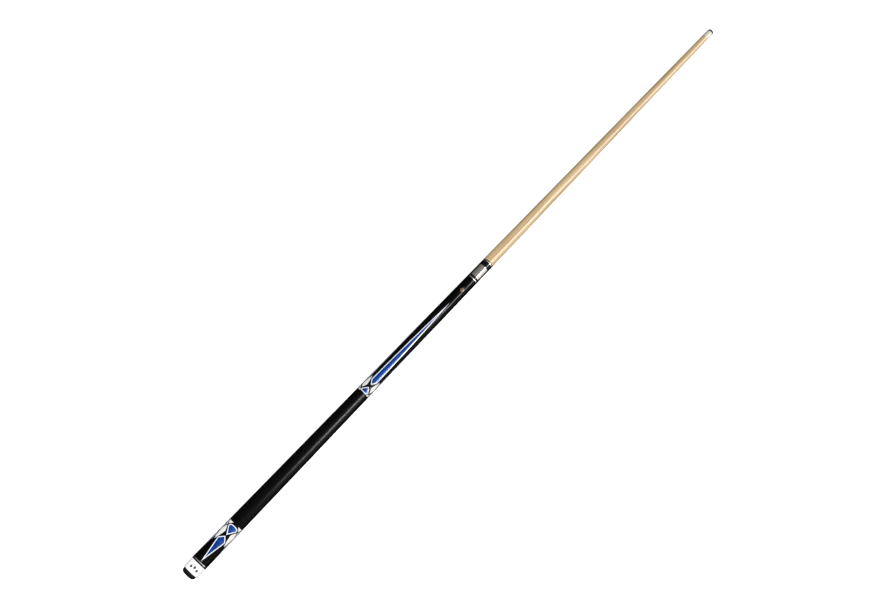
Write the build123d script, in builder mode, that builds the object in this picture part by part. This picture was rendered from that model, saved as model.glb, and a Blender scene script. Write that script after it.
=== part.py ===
from build123d import *

import os
from math import radians, sin, sqrt

# Two-piece pool cue in millimetres. The cue lies along +X with +Z up.
# The origin is the centre of the bumper's end face, and the tip points towards +X.

# ---------------------------------------------------------------- overall sizes
butt_length = 736.6           # bumper face to joint face, 29 in
shaft_length = 736.6          # joint face to the top of the tip, 29 in
butt_dia = 30.2               # at the rear edge of the butt cap
joint_dia = 22.5              # at the joint face, on both halves
tip_dia = 13.5                # ferrule and tip

# ---------------------------------------------------------------- butt, from the rear
bumper_height = 8.0           # rubber that stands behind the cap
bumper_seat_dia = 26.6        # where it meets the cap
bumper_end_dia = 15.6         # flat that the cue stands on
bumper_plug_dia = 12.0        # plug that holds it in the cap
bumper_plug_length = 12.0
bumper_rib_height = 0.12      # each rib stands out of the plug by this much
plug_clearance = 0.20         # plug to its hole, on the radius

cap_length = 18.0
cap_web = 6.0                 # solid end of the cap, behind the core's tenon
cap_edge_radius = 1.0
cap_black_ring_length = 2.3
cap_silver_ring_length = 1.6
sleeve_length = 78.6
wrap_length = 303.0
wrap_thickness = 1.2
core_tenon_dia = 20.0         # core inside the cap, the rings and the sleeve

bolt_head_dia = 12.0
bolt_head_height = 8.0
bolt_shank_dia = 9.5
bolt_shank_length = 62.0
bolt_hex = 6.0                # across the flats of its socket
bolt_hex_depth = 5.0
bolt_clearance = 0.15         # on the radius
bolt_depth = 9.0              # from the end of the bumper's plug to the bolt's head

stud_dia = 9.5                # joins the handle core to the forearm
stud_length = 80.0
handle_tenon_dia = 17.0
handle_tenon_length = 20.0
tenon_end_gap = 0.5           # glue room at the bottom of a blind hole

# ---------------------------------------------------------------- joint
collar_length = 27.0
joint_black_ring_length = 4.5
joint_silver_ring_length = 1.6
forearm_tenon_dia = 15.0      # inside the rings and the steel collar
pilot_length = 3.8            # insert's pilot, which enters the steel collar
pilot_clearance = 0.05        # on the radius
pilot_end_gap = 0.4
edge_break = 0.25             # small chamfer round the joint faces

thread_pitch = 25.4 / 14      # 5/16-14 screw
thread_major_radius = 3.95
thread_depth = 1.08
thread_crest = 0.23           # width of the ridge at its top
thread_flank_slope = 0.577    # ridge half width gained per unit of depth
thread_clearance = 0.08       # on the radius and along the axis
thread_length = 27.2
thread_foot_overlap = 0.15    # how deep a ridge's foot sits in the wall that carries it
pin_grip = 40.0               # length held in the forearm
pin_nose = 3.0                # plain end in front of the thread
insert_dia = 12.0
insert_end_gap = 3.6          # from the pin's end to the end of the insert and its bore
insert_thread_length = 20.0
insert_thread_lead = 6.4      # about this far in front of the pin's first turn

# ---------------------------------------------------------------- shaft
shaft_collar_length = 10.8
trim_ring_length = 1.9
shaft_black_ring_length = 1.5
shaft_tenon_dia = 16.5        # inside the collar and the rings
ferrule_length = 17.0
ferrule_tenon_dia = 9.0
ferrule_tenon_length = 14.0
pad_thickness = 1.0
tip_height = 5.4
tip_dome_rise = 2.0

# ---------------------------------------------------------------- inlays
border_width = 1.3            # white veneer round a blue inlay
border_depth = 1.3
blue_depth = 0.8              # blue piece, set into its white border
white_depth = 1.2             # drops and corner triangles
mark_depth = 0.6              # cap ornament and forearm diamond
ways = 4                      # spears and fans round the cue
quarter = 360 / ways
half_step = quarter / 2

spear_tip_gap = 1.3           # from the silver ring to the sleeve spear's tip
spear_length = 53.9
spear_shoulder = 43.0         # from the tip to the spear's shoulders
spear_shoulder_flat = 2.6
spear_half_angle = 30.7        # half angles are seen from the axis, in degrees
crossing_gap = 1.9            # between the spear's rear point and the fan's point
fan_length = 18.6
fan_shoulder = 13.7           # from the point to the widest place
fan_half_angle = 38.6
fan_end_half_angle = 27.0
fan_end_bulge = 0.9
drop_end_gap = 9.1            # from the wrap to the drop's blunt end
drop_blunt = 9.2              # from the blunt end to the widest place
drop_length = 28.9
drop_half_angle = 21.0
drop_fullness = 0.62          # half width midway along each curved side, as a share of the widest
corner_length = 6.3
corner_half_angle = 23.0

fore_fan_gap = 0.4            # from the wrap to the forearm fan
fore_fan_length = 13.3
fore_fan_shoulder = 9.7
fore_fan_half_angle = 37.6
fore_fan_end_half_angle = 23.7
fore_fan_end_bulge = 0.3
long_spear_gap = 18.7         # from the wrap to the long spear's rear point
long_spear_length = 209.0
long_spear_shoulder = 8.6
long_spear_flat = 5.6
long_spear_half_angle = 27.7
long_spear_middle = 0.65      # half width at mid length, as a share of the widest
fore_drop_gap = 6.2
fore_drop_blunt = 9.2
fore_drop_length = 26.8
fore_drop_half_angle = 21.0
fore_corner_length = 3.6
fore_corner_half_angle = 16.0

mark_count = 3
mark_length = 6.4
mark_half_angle = 9.5
mark_step = 24.0              # degrees between the cap's lozenges
mark_stagger = 1.0            # neighbours sit this far off the row, along the cue
diamond_gap = 24.0            # from the silver ring back to the forearm diamond
diamond_length = 12.0
diamond_half_angle = 22.0

# ---------------------------------------------------------------- stations along the cue
cap_start = bumper_height
cap_black_start = cap_start + cap_length
cap_silver_start = cap_black_start + cap_black_ring_length
sleeve_start = cap_silver_start + cap_silver_ring_length
wrap_start = sleeve_start + sleeve_length
forearm_start = wrap_start + wrap_length
joint_face = butt_length
collar_start = joint_face - collar_length
joint_black_start = collar_start - joint_black_ring_length
forearm_end = joint_black_start - joint_silver_ring_length
shaft_collar_end = joint_face + shaft_collar_length
trim_ring_end = shaft_collar_end + trim_ring_length
maple_start = trim_ring_end + shaft_black_ring_length
tip_end = joint_face + shaft_length
tip_start = tip_end - tip_height
pad_start = tip_start - pad_thickness
ferrule_start = pad_start - ferrule_length

core_start = cap_start + cap_web
plug_hole_radius = bumper_plug_dia / 2 + plug_clearance
plug_end = cap_start + bumper_plug_length
bolt_head_start = plug_end + bolt_depth
bolt_head_end = bolt_head_start + bolt_head_height
bolt_end = bolt_head_end + bolt_shank_length
bolt_head_hole = bolt_head_dia / 2 + bolt_clearance
bolt_shank_hole = bolt_shank_dia / 2 + bolt_clearance
stud_start = forearm_start - stud_length / 2
stud_end = forearm_start + stud_length / 2
tenon_end = forearm_start + handle_tenon_length
recess_floor = joint_face - pilot_length - pilot_end_gap
pilot_radius = forearm_tenon_dia / 2 - pilot_clearance
pin_start = recess_floor - pin_grip
thread_start = recess_floor + thread_pitch
thread_end = thread_start + thread_length
pin_end = thread_end + pin_nose
pin_core_radius = thread_major_radius - thread_depth
insert_end = pin_end + insert_end_gap
insert_crest_radius = pin_core_radius + 2 * thread_clearance
insert_root_radius = thread_major_radius + thread_clearance
insert_lead_turns = int(insert_thread_lead / thread_pitch) + 0.5
insert_thread_start = thread_start + insert_lead_turns * thread_pitch
dome_radius = (tip_dia ** 2 / 4 + tip_dome_rise ** 2) / (2 * tip_dome_rise)
dome_start = tip_end - tip_dome_rise


# ---------------------------------------------------------------- shared shapes
def butt_radius(x):
    """Outside radius of the butt, one straight taper from the cap to the joint face."""
    share = (x - cap_start) / (joint_face - cap_start)
    return (butt_dia + share * (joint_dia - butt_dia)) / 2


def shaft_radius(x):
    """Outside radius of the shaft, one straight taper from the joint face to the ferrule."""
    share = (x - joint_face) / (ferrule_start - joint_face)
    return (joint_dia + share * (tip_dia - joint_dia)) / 2


def reach(x, half_angle):
    """Half width at x of a flat shape that spans this half angle of the butt's surface."""
    return butt_radius(x) * sin(radians(half_angle))


def pin_ridge_half(radius):
    """Half width of the pin's thread ridge at a radius."""
    return thread_crest / 2 + (thread_major_radius - radius) * thread_flank_slope


def insert_ridge_half(radius):
    """Half width of the insert's thread ridge, which runs midway between the pin's turns."""
    return thread_pitch / 2 - pin_ridge_half(radius) - thread_clearance


def outline(*points):
    """Flat shape with straight sides, from (x, radius) points in the XZ plane."""
    with BuildSketch(Plane.XZ) as flat:
        with BuildLine():
            Polyline(*points, close=True)
        make_face()
    return flat.sketch


def tube_section(start, end, bore_radius, outside):
    """Half section of a tapered tube, whose outside radius is a function of x."""
    return outline(
        (start, bore_radius),
        (end, bore_radius),
        (end, outside(end)),
        (start, outside(start)),
    )


def shell(start, end, depth):
    """Skin of the butt, from its surface down to a depth: what an inlay is cut from."""
    with BuildPart() as skin:
        revolve(
            outline(
                (start, butt_radius(start) - depth),
                (end, butt_radius(end) - depth),
                (end, butt_radius(end)),
                (start, butt_radius(start)),
            ),
            axis=Axis.X,
        )
    return skin.part


def above(flat, skin):
    """Piece of a skin that lies straight above a flat shape drawn on the XY plane."""
    with BuildPart() as piece:
        extrude(flat, amount=butt_dia)
        add(skin, mode=Mode.INTERSECT)
    return piece.part


def inset(flat, width):
    """Flat shape with its whole edge moved inwards."""
    with BuildSketch() as inner:
        add(flat)
        offset(amount=-width, kind=Kind.INTERSECTION)
    return inner.sketch


def mirrored_outline(points):
    """Flat shape on the XY plane, from one side's (x, y) points and their mirror image."""
    other_side = [(x, -y) for x, y in reversed(points) if y > 0]
    with BuildSketch() as flat:
        with BuildLine():
            Polyline(*points, *other_side, close=True)
        make_face()
    return flat.sketch


def fan_outline(point, direction, length, shoulder, half_angle, end_half_angle, bulge):
    """Fan with a sharp point, straight sides and a slightly crowned end."""
    wide = point + direction * shoulder
    end = point + direction * (length - bulge)
    crown = point + direction * length
    half_width = reach(wide, half_angle)
    end_half_width = reach(end, end_half_angle)
    with BuildSketch() as flat:
        with BuildLine():
            Polyline(
                (end, end_half_width),
                (wide, half_width),
                (point, 0),
                (wide, -half_width),
                (end, -end_half_width),
            )
            ThreePointArc((end, -end_half_width), (crown, 0), (end, end_half_width))
        make_face()
    return flat.sketch


def drop_outline(blunt_end, direction, blunt, length, half_angle):
    """Leaf-shaped drop with a blunt point, its widest place near it, and a long sharp tip."""
    wide = blunt_end + direction * blunt
    tip = blunt_end + direction * length
    head = (blunt_end + wide) / 2
    body = (wide + tip) / 2
    half_width = reach(wide, half_angle)
    full = half_width * drop_fullness
    with BuildSketch() as flat:
        with BuildLine():
            ThreePointArc((blunt_end, 0), (head, full), (wide, half_width))
            ThreePointArc((wide, half_width), (body, full), (tip, 0))
            ThreePointArc((tip, 0), (body, -full), (wide, -half_width))
            ThreePointArc((wide, -half_width), (head, -full), (blunt_end, 0))
        make_face()
    return flat.sketch


def long_spear_outline(rear):
    """Long forearm point: a rear point, short straight shoulders and slowly closing curved sides."""
    shoulder = rear + long_spear_shoulder
    curve_start = shoulder + long_spear_flat
    tip = rear + long_spear_length
    middle = (curve_start + tip) / 2
    wide = reach(shoulder, long_spear_half_angle)
    with BuildSketch() as flat:
        with BuildLine():
            Polyline(
                (curve_start, wide),
                (shoulder, wide),
                (rear, 0),
                (shoulder, -wide),
                (curve_start, -wide),
            )
            ThreePointArc((curve_start, -wide), (middle, -wide * long_spear_middle), (tip, 0))
            ThreePointArc((tip, 0), (middle, wide * long_spear_middle), (curve_start, wide))
        make_face()
    return flat.sketch


def lozenge(middle, length, half_angle):
    """Flat lozenge, long in X."""
    half_width = reach(middle, half_angle)
    return mirrored_outline([(middle - length / 2, 0), (middle, half_width), (middle + length / 2, 0)])


def helical_ridge(start, length, foot, top, half_width):
    """Helical thread ridge from a foot radius to a top radius, whose half width is a function of radius."""
    with BuildPart() as ridge:
        with BuildLine() as path:
            Helix(
                pitch=thread_pitch,
                height=length,
                radius=foot,
                center=(start, 0, 0),
                direction=(1, 0, 0),
            )
        begin = path.line @ 0
        outward = Vector(0, begin.Y, begin.Z).normalized()
        with BuildSketch(Plane(origin=begin, x_dir=outward, z_dir=path.line % 0)):
            with BuildLine():
                Polyline(
                    (0, -half_width(foot)),
                    (top - foot, -half_width(top)),
                    (top - foot, half_width(top)),
                    (0, half_width(foot)),
                    close=True,
                )
            make_face()
        sweep(path=path.line, is_frenet=True)
    return ridge.part


def write(part, name):
    """Label a finished piece and write its STEP file."""
    part.label = name
    export_step(part, f"parts/{name}.step")


os.makedirs("parts", exist_ok=True)

# ---------------------------------------------------------------- bumper
with BuildPart() as bumper:
    with BuildSketch(Plane.XZ):
        with BuildLine():
            Polyline((0, 0), (0, bumper_end_dia / 2))
            ThreePointArc(
                (0, bumper_end_dia / 2),
                (0.29 * bumper_height, bumper_end_dia / 2 + 0.71 * (bumper_seat_dia - bumper_end_dia) / 2),
                (bumper_height, bumper_seat_dia / 2),
            )
            Polyline(
                (bumper_height, bumper_seat_dia / 2),
                (bumper_height, bumper_plug_dia / 2),
                (plug_end, bumper_plug_dia / 2),
                (plug_end, 0),
                (0, 0),
            )
        make_face()
    revolve(axis=Axis.X)
    chamfer(edges().filter_by(GeomType.CIRCLE).sort_by(Axis.X)[-1], 1.0)
    for rib in (1, 2):
        rib_middle = cap_start + rib * bumper_plug_length / 3
        rib_half = bumper_plug_length / 12
        revolve(
            outline(
                (rib_middle - rib_half, bumper_plug_dia / 2 - rib_half),
                (rib_middle + rib_half, bumper_plug_dia / 2 - rib_half),
                (rib_middle, bumper_plug_dia / 2 + bumper_rib_height),
            ),
            axis=Axis.X,
        )
write(bumper.part, "bumper")

# ---------------------------------------------------------------- butt cap and its ornament
cap_skin = shell(cap_start, cap_black_start, mark_depth)
cap_middle = cap_start + cap_length / 2
with BuildPart() as cap_ornament:
    for index in range(mark_count):
        step = index - (mark_count - 1) / 2
        middle = cap_middle + (mark_stagger if index % 2 else -mark_stagger)
        add(above(lozenge(middle, mark_length, mark_half_angle), cap_skin), rotation=(step * mark_step, 0, 0))
write(cap_ornament.part, "cap_ornament")

with BuildPart() as butt_cap:
    revolve(
        outline(
            (cap_start, plug_hole_radius),
            (core_start, plug_hole_radius),
            (core_start, core_tenon_dia / 2),
            (cap_black_start, core_tenon_dia / 2),
            (cap_black_start, butt_radius(cap_black_start)),
            (cap_start, butt_radius(cap_start)),
        ),
        axis=Axis.X,
    )
    fillet(edges().filter_by(GeomType.CIRCLE).group_by(Axis.X)[0].sort_by(SortBy.RADIUS)[-1], cap_edge_radius)
    add(cap_ornament.part, mode=Mode.SUBTRACT)
write(butt_cap.part, "butt_cap")

# ---------------------------------------------------------------- weight bolt
with BuildPart() as weight_bolt:
    revolve(
        outline(
            (bolt_head_start, 0),
            (bolt_end, 0),
            (bolt_end, bolt_shank_dia / 2),
            (bolt_head_end, bolt_shank_dia / 2),
            (bolt_head_end, bolt_head_dia / 2),
            (bolt_head_start, bolt_head_dia / 2),
        ),
        axis=Axis.X,
    )
    with BuildSketch(Plane.YZ.offset(bolt_head_start)):
        RegularPolygon(radius=bolt_hex / 2, side_count=6, major_radius=False)
    extrude(amount=bolt_hex_depth, mode=Mode.SUBTRACT)
    chamfer(edges().filter_by(GeomType.CIRCLE).sort_by(Axis.X)[-1], 1.0)
write(weight_bolt.part, "weight_bolt")

# ---------------------------------------------------------------- rings between the cap and the sleeve
with BuildPart() as cap_black_ring:
    revolve(tube_section(cap_black_start, cap_silver_start, core_tenon_dia / 2, butt_radius), axis=Axis.X)
write(cap_black_ring.part, "cap_black_ring")

with BuildPart() as cap_silver_ring:
    revolve(tube_section(cap_silver_start, sleeve_start, core_tenon_dia / 2, butt_radius), axis=Axis.X)
write(cap_silver_ring.part, "cap_silver_ring")

# ---------------------------------------------------------------- sleeve inlays
spear_tip = sleeve_start + spear_tip_gap
spear_rear = spear_tip + spear_length
spear_wide = spear_tip + spear_shoulder
spear_half_width = reach(spear_wide, spear_half_angle)
spear_shape = mirrored_outline(
    [
        (spear_tip, 0),
        (spear_wide, spear_half_width),
        (spear_wide + spear_shoulder_flat, spear_half_width),
        (spear_rear, 0),
    ]
)
fan_shape = fan_outline(
    spear_rear + crossing_gap, 1, fan_length, fan_shoulder, fan_half_angle, fan_end_half_angle, fan_end_bulge
)
drop_shape = drop_outline(wrap_start - drop_end_gap, -1, drop_blunt, drop_length, drop_half_angle)
corner_shape = mirrored_outline(
    [(wrap_start - corner_length, 0), (wrap_start, reach(wrap_start, corner_half_angle))]
)

sleeve_border_skin = shell(sleeve_start, wrap_start, border_depth)
sleeve_blue_skin = shell(sleeve_start, wrap_start, blue_depth)
sleeve_white_skin = shell(sleeve_start, wrap_start, white_depth)


def bordered_inlay(shape, border_skin, blue_skin):
    """Blue piece, white border round and under it, and the pocket that both fill."""
    blue = above(inset(shape, border_width), blue_skin)
    pocket = above(shape, border_skin)
    with BuildPart() as border:
        add(pocket)
        add(blue, mode=Mode.SUBTRACT)
    return blue, border.part, pocket


def write_each(piece, name):
    """Write the same piece at each of the cue's four ways round, as its own node."""
    for index in range(ways):
        with BuildPart() as turned:
            add(piece, rotation=(index * quarter, 0, 0))
        write(turned.part, f"{name}_{index + 1}")


spear_blue, spear_border, spear_pocket = bordered_inlay(spear_shape, sleeve_border_skin, sleeve_blue_skin)
fan_blue, fan_border, fan_pocket = bordered_inlay(fan_shape, sleeve_border_skin, sleeve_blue_skin)
write_each(spear_blue, "sleeve_spear")
write_each(spear_border, "sleeve_spear_border")
write_each(fan_blue, "sleeve_fan")
write_each(fan_border, "sleeve_fan_border")

drop_piece = above(drop_shape, sleeve_white_skin)
corner_piece = above(corner_shape, sleeve_white_skin)

with BuildPart() as sleeve_drops:
    for index in range(ways):
        add(drop_piece, rotation=(half_step + index * quarter, 0, 0))
write(sleeve_drops.part, "sleeve_drops")

with BuildPart() as sleeve_corners:
    for index in range(ways):
        add(corner_piece, rotation=(half_step + index * quarter, 0, 0))
write(sleeve_corners.part, "sleeve_corners")

# ---------------------------------------------------------------- butt sleeve
with BuildPart() as butt_sleeve:
    revolve(tube_section(sleeve_start, wrap_start, core_tenon_dia / 2, butt_radius), axis=Axis.X)
    for index in range(ways):
        add(spear_pocket, rotation=(index * quarter, 0, 0), mode=Mode.SUBTRACT)
        add(fan_pocket, rotation=(index * quarter, 0, 0), mode=Mode.SUBTRACT)
    add(sleeve_drops.part, mode=Mode.SUBTRACT)
    add(sleeve_corners.part, mode=Mode.SUBTRACT)
write(butt_sleeve.part, "butt_sleeve")

# ---------------------------------------------------------------- handle core, wrap and stud
with BuildPart() as handle_core:
    revolve(
        outline(
            (core_start, 0),
            (tenon_end, 0),
            (tenon_end, handle_tenon_dia / 2),
            (forearm_start, handle_tenon_dia / 2),
            (forearm_start, butt_radius(forearm_start) - wrap_thickness),
            (wrap_start, butt_radius(wrap_start) - wrap_thickness),
            (wrap_start, core_tenon_dia / 2),
            (core_start, core_tenon_dia / 2),
        ),
        axis=Axis.X,
    )
    revolve(
        outline(
            (core_start, 0),
            (bolt_end + tenon_end_gap, 0),
            (bolt_end + tenon_end_gap, bolt_shank_hole),
            (bolt_head_end, bolt_shank_hole),
            (bolt_head_end, bolt_head_hole),
            (bolt_head_start, bolt_head_hole),
            (bolt_head_start, plug_hole_radius),
            (core_start, plug_hole_radius),
        ),
        axis=Axis.X,
        mode=Mode.SUBTRACT,
    )
    with BuildSketch(Plane.YZ.offset(stud_start)):
        Circle(stud_dia / 2)
    extrude(amount=tenon_end - stud_start, mode=Mode.SUBTRACT)
write(handle_core.part, "handle_core")

with BuildPart() as handle_wrap:
    revolve(
        outline(
            (wrap_start, butt_radius(wrap_start) - wrap_thickness),
            (forearm_start, butt_radius(forearm_start) - wrap_thickness),
            (forearm_start, butt_radius(forearm_start)),
            (wrap_start, butt_radius(wrap_start)),
        ),
        axis=Axis.X,
    )
write(handle_wrap.part, "handle_wrap")

with BuildPart() as handle_stud:
    with BuildSketch(Plane.YZ.offset(stud_start)):
        Circle(stud_dia / 2)
    extrude(amount=stud_length)
    chamfer(edges().filter_by(GeomType.CIRCLE), 0.8)
write(handle_stud.part, "handle_stud")

# ---------------------------------------------------------------- forearm inlays
fore_fan_point = forearm_start + fore_fan_gap + fore_fan_length
fore_fan_shape = fan_outline(
    fore_fan_point,
    -1,
    fore_fan_length,
    fore_fan_shoulder,
    fore_fan_half_angle,
    fore_fan_end_half_angle,
    fore_fan_end_bulge,
)
long_spear_shape = long_spear_outline(forearm_start + long_spear_gap)
fore_drop_shape = drop_outline(
    forearm_start + fore_drop_gap, 1, fore_drop_blunt, fore_drop_length, fore_drop_half_angle
)
fore_corner_shape = mirrored_outline(
    [(forearm_start + fore_corner_length, 0), (forearm_start, reach(forearm_start, fore_corner_half_angle))]
)
diamond_shape = lozenge(forearm_end - diamond_gap - diamond_length / 2, diamond_length, diamond_half_angle)

fore_border_skin = shell(forearm_start, forearm_end, border_depth)
fore_blue_skin = shell(forearm_start, forearm_end, blue_depth)
fore_white_skin = shell(forearm_start, forearm_end, white_depth)
fore_mark_skin = shell(forearm_start, forearm_end, mark_depth)

long_blue, long_border, long_pocket = bordered_inlay(long_spear_shape, fore_border_skin, fore_blue_skin)
fan_pieces = bordered_inlay(fore_fan_shape, fore_border_skin, fore_blue_skin)
fore_fan_blue, fore_fan_border, fore_fan_pocket = fan_pieces
write_each(long_blue, "forearm_spear")
write_each(long_border, "forearm_spear_border")

fore_drop_piece = above(fore_drop_shape, fore_white_skin)
fore_corner_piece = above(fore_corner_shape, fore_white_skin)

with BuildPart() as forearm_fans:
    for index in range(ways):
        add(fore_fan_blue, rotation=(index * quarter, 0, 0))
write(forearm_fans.part, "forearm_fans")

with BuildPart() as forearm_fan_borders:
    for index in range(ways):
        add(fore_fan_border, rotation=(index * quarter, 0, 0))
write(forearm_fan_borders.part, "forearm_fan_borders")

with BuildPart() as forearm_drops:
    for index in range(ways):
        add(fore_drop_piece, rotation=(half_step + index * quarter, 0, 0))
write(forearm_drops.part, "forearm_drops")

with BuildPart() as forearm_corners:
    for index in range(ways):
        add(fore_corner_piece, rotation=(half_step + index * quarter, 0, 0))
write(forearm_corners.part, "forearm_corners")

with BuildPart() as forearm_diamond:
    add(above(diamond_shape, fore_mark_skin))
write(forearm_diamond.part, "forearm_diamond")

# ---------------------------------------------------------------- forearm
with BuildPart() as forearm:
    revolve(
        outline(
            (forearm_start, 0),
            (recess_floor, 0),
            (recess_floor, forearm_tenon_dia / 2),
            (forearm_end, forearm_tenon_dia / 2),
            (forearm_end, butt_radius(forearm_end)),
            (forearm_start, butt_radius(forearm_start)),
        ),
        axis=Axis.X,
    )
    revolve(
        outline(
            (forearm_start, 0),
            (stud_end, 0),
            (stud_end, stud_dia / 2),
            (tenon_end + tenon_end_gap, stud_dia / 2),
            (tenon_end + tenon_end_gap, handle_tenon_dia / 2),
            (forearm_start, handle_tenon_dia / 2),
        ),
        axis=Axis.X,
        mode=Mode.SUBTRACT,
    )
    with BuildSketch(Plane.YZ.offset(pin_start)):
        Circle(thread_major_radius)
    extrude(amount=pin_grip, mode=Mode.SUBTRACT)
    for index in range(ways):
        add(long_pocket, rotation=(index * quarter, 0, 0), mode=Mode.SUBTRACT)
        add(fore_fan_pocket, rotation=(index * quarter, 0, 0), mode=Mode.SUBTRACT)
    add(forearm_drops.part, mode=Mode.SUBTRACT)
    add(forearm_corners.part, mode=Mode.SUBTRACT)
    add(forearm_diamond.part, mode=Mode.SUBTRACT)
write(forearm.part, "forearm")

# ---------------------------------------------------------------- joint rings and steel collar
with BuildPart() as joint_silver_ring:
    revolve(tube_section(forearm_end, joint_black_start, forearm_tenon_dia / 2, butt_radius), axis=Axis.X)
write(joint_silver_ring.part, "joint_silver_ring")

with BuildPart() as joint_black_ring:
    revolve(tube_section(joint_black_start, collar_start, forearm_tenon_dia / 2, butt_radius), axis=Axis.X)
write(joint_black_ring.part, "joint_black_ring")

with BuildPart() as joint_collar:
    revolve(tube_section(collar_start, joint_face, forearm_tenon_dia / 2, butt_radius), axis=Axis.X)
    chamfer(edges().filter_by(GeomType.CIRCLE).group_by(Axis.X)[-1], edge_break)
write(joint_collar.part, "joint_collar")

# ---------------------------------------------------------------- joint screw
with BuildPart() as joint_pin:
    revolve(
        outline(
            (pin_start, 0),
            (pin_end, 0),
            (pin_end, pin_core_radius / 2),
            (pin_end - pin_core_radius / 2, pin_core_radius),
            (thread_start - thread_pitch, pin_core_radius),
            (thread_start - thread_pitch, thread_major_radius),
            (pin_start, thread_major_radius),
        ),
        axis=Axis.X,
    )
    add(
        helical_ridge(
            thread_start,
            thread_length,
            pin_core_radius - thread_foot_overlap,
            thread_major_radius,
            pin_ridge_half,
        )
    )
write(joint_pin.part, "joint_pin")

# ---------------------------------------------------------------- shaft insert
with BuildPart() as shaft_insert:
    revolve(
        outline(
            (joint_face - pilot_length, insert_root_radius),
            (insert_end, insert_root_radius),
            (insert_end, insert_dia / 2),
            (joint_face, insert_dia / 2),
            (joint_face, pilot_radius),
            (joint_face - pilot_length, pilot_radius),
        ),
        axis=Axis.X,
    )
    chamfer(edges().filter_by(GeomType.CIRCLE).group_by(Axis.X)[0].sort_by(SortBy.RADIUS)[-1], edge_break)
    add(
        helical_ridge(
            insert_thread_start,
            insert_thread_length,
            insert_root_radius + thread_foot_overlap,
            insert_crest_radius,
            insert_ridge_half,
        )
    )
write(shaft_insert.part, "shaft_insert")

# ---------------------------------------------------------------- shaft collar and rings
with BuildPart() as shaft_collar:
    revolve(tube_section(joint_face, shaft_collar_end, shaft_tenon_dia / 2, shaft_radius), axis=Axis.X)
    chamfer(edges().filter_by(GeomType.CIRCLE).group_by(Axis.X)[0].sort_by(SortBy.RADIUS)[-1], edge_break)
write(shaft_collar.part, "shaft_collar")

with BuildPart() as shaft_trim_ring:
    revolve(tube_section(shaft_collar_end, trim_ring_end, shaft_tenon_dia / 2, shaft_radius), axis=Axis.X)
write(shaft_trim_ring.part, "shaft_trim_ring")

with BuildPart() as shaft_black_ring:
    revolve(tube_section(trim_ring_end, maple_start, shaft_tenon_dia / 2, shaft_radius), axis=Axis.X)
write(shaft_black_ring.part, "shaft_black_ring")

# ---------------------------------------------------------------- maple shaft
with BuildPart() as shaft:
    revolve(
        outline(
            (joint_face, insert_dia / 2),
            (joint_face, shaft_tenon_dia / 2),
            (maple_start, shaft_tenon_dia / 2),
            (maple_start, shaft_radius(maple_start)),
            (ferrule_start, tip_dia / 2),
            (ferrule_start, ferrule_tenon_dia / 2),
            (ferrule_start + ferrule_tenon_length, ferrule_tenon_dia / 2),
            (ferrule_start + ferrule_tenon_length, 0),
            (insert_end, 0),
            (insert_end, insert_dia / 2),
        ),
        axis=Axis.X,
    )
write(shaft.part, "shaft")

# ---------------------------------------------------------------- ferrule, pad and tip
with BuildPart() as ferrule:
    revolve(
        outline(
            (ferrule_start, ferrule_tenon_dia / 2),
            (ferrule_start, tip_dia / 2),
            (pad_start, tip_dia / 2),
            (pad_start, 0),
            (ferrule_start + ferrule_tenon_length + tenon_end_gap, 0),
            (ferrule_start + ferrule_tenon_length + tenon_end_gap, ferrule_tenon_dia / 2),
        ),
        axis=Axis.X,
    )
write(ferrule.part, "ferrule")

with BuildPart() as tip_pad:
    with BuildSketch(Plane.YZ.offset(pad_start)):
        Circle(tip_dia / 2)
    extrude(amount=pad_thickness)
write(tip_pad.part, "tip_pad")

with BuildPart() as tip:
    with BuildSketch(Plane.XZ):
        with BuildLine():
            Polyline((tip_end, 0), (tip_start, 0), (tip_start, tip_dia / 2), (dome_start, tip_dia / 2))
            ThreePointArc(
                (dome_start, tip_dia / 2),
                (tip_end - dome_radius + sqrt(dome_radius ** 2 - tip_dia ** 2 / 16), tip_dia / 4),
                (tip_end, 0),
            )
        make_face()
    revolve(axis=Axis.X)
write(tip.part, "tip")
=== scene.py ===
import math

import bmesh
import bpy
from mathutils import Matrix, Vector


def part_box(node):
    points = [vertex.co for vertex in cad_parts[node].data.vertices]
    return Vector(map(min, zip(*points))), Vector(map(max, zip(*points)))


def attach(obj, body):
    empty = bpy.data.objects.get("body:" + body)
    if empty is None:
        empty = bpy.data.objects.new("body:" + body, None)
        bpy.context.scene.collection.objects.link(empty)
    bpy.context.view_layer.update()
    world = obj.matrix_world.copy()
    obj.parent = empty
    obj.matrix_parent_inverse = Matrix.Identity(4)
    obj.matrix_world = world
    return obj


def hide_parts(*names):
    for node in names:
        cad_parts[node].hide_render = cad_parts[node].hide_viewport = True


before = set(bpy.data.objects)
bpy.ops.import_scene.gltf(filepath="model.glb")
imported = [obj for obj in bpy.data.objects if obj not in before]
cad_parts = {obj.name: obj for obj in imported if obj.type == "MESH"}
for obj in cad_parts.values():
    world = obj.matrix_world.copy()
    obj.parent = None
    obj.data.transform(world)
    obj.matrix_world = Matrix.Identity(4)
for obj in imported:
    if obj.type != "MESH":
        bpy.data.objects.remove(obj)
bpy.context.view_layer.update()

# ---------------------------------------------------------------- sizes, in metres
MM = 0.001
SEGMENTS = 192                    # facets round every turned piece
FACET_TURN = 0.37                 # share of a facet by which they are turned, clear of the inlays' corners
SEAM = 0.06 * MM                  # tiny bevel where two turned pieces meet
COLLAR_SEAM = 0.25 * MM           # larger bevel at each side of the joint
TURNING_GAP = 0.01 * MM           # clearance of the ring that the shaft turns against
SHARP_ANGLE = math.radians(24)    # edges over this angle shade as sharp
ON_CONE = 0.006 * MM              # a point this near the outer cone counts as on it
QUARTER = math.radians(90)
WAYS = range(4)

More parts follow.
